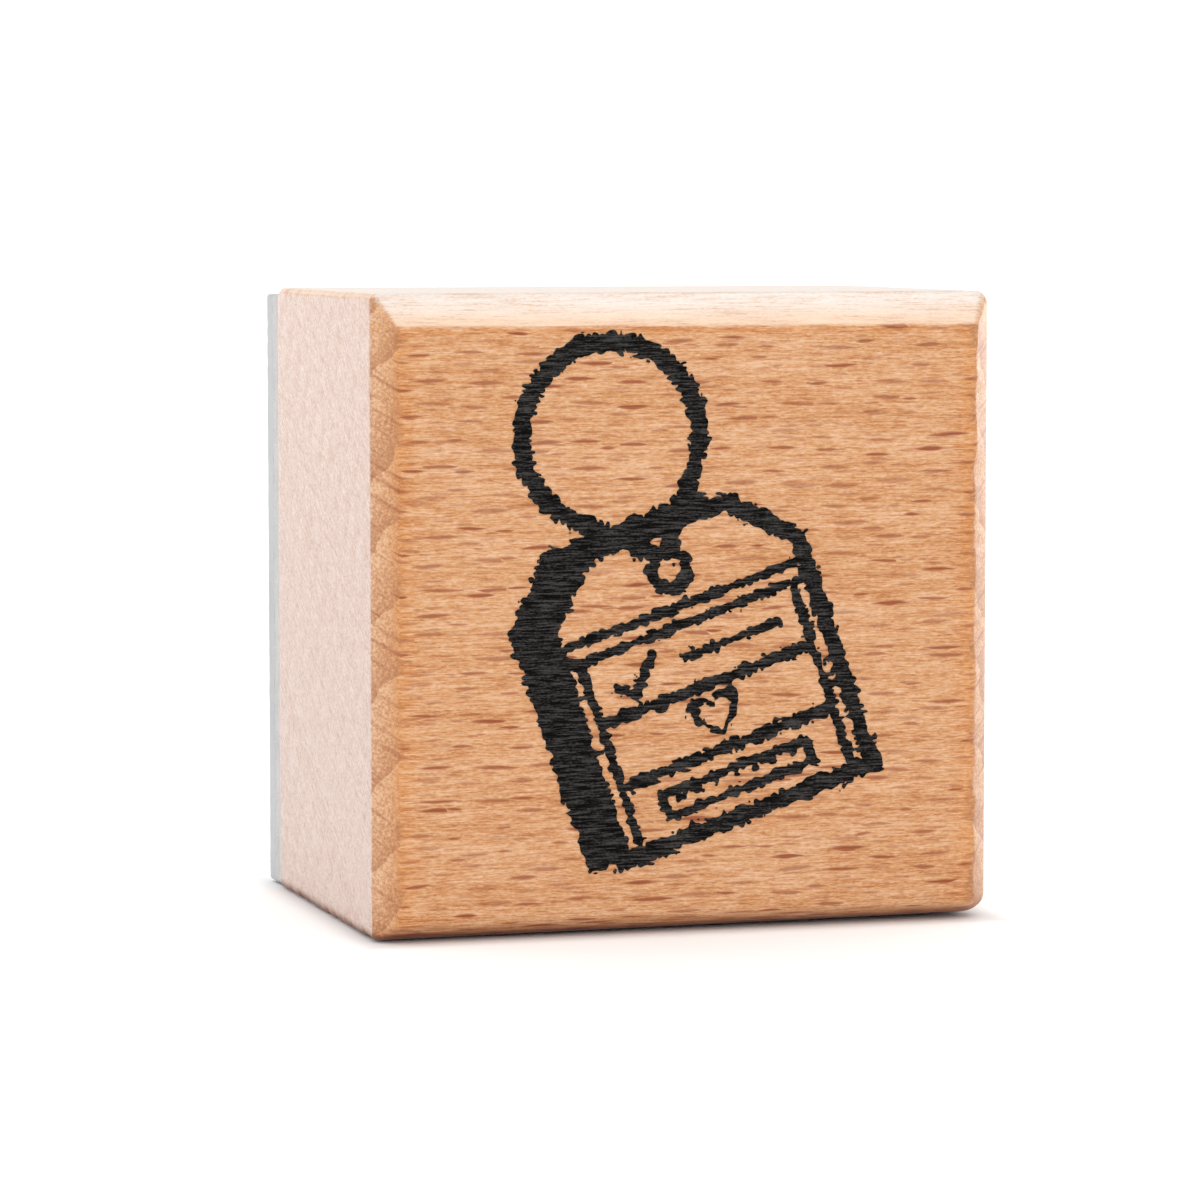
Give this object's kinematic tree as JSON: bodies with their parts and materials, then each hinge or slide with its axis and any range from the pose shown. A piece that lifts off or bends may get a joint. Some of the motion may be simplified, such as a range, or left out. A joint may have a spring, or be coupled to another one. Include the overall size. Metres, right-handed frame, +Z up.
{
  "type": "rubber stamp",
  "caption": "Wood-mounted rubber stamp: a bevelled hardwood block with a hang-tag picture printed on its face and a cushioned raised rubber die on its back.",
  "frame": {"origin": "middle of the footprint, on the surface that the block's long side stands on", "axes": "+X along the wood's grain, to the right when the picture is read; +Y from the printed picture to the rubber die; +Z up, towards the top of the picture"},
  "size_m": [0.0404, 0.0314, 0.04],
  "materials": {
    "wood": "matte",
    "ink": "satin",
    "adhesive": "satin",
    "foam": "matte",
    "rubber": "matte"
  },
  "bodies": {
    "root": {"wood_block": "wood", "index_print": "ink", "block_adhesive": "adhesive", "foam_cushion": "foam", "die_adhesive": "adhesive", "rubber_die": "rubber"}
  },
  "joints": []
}
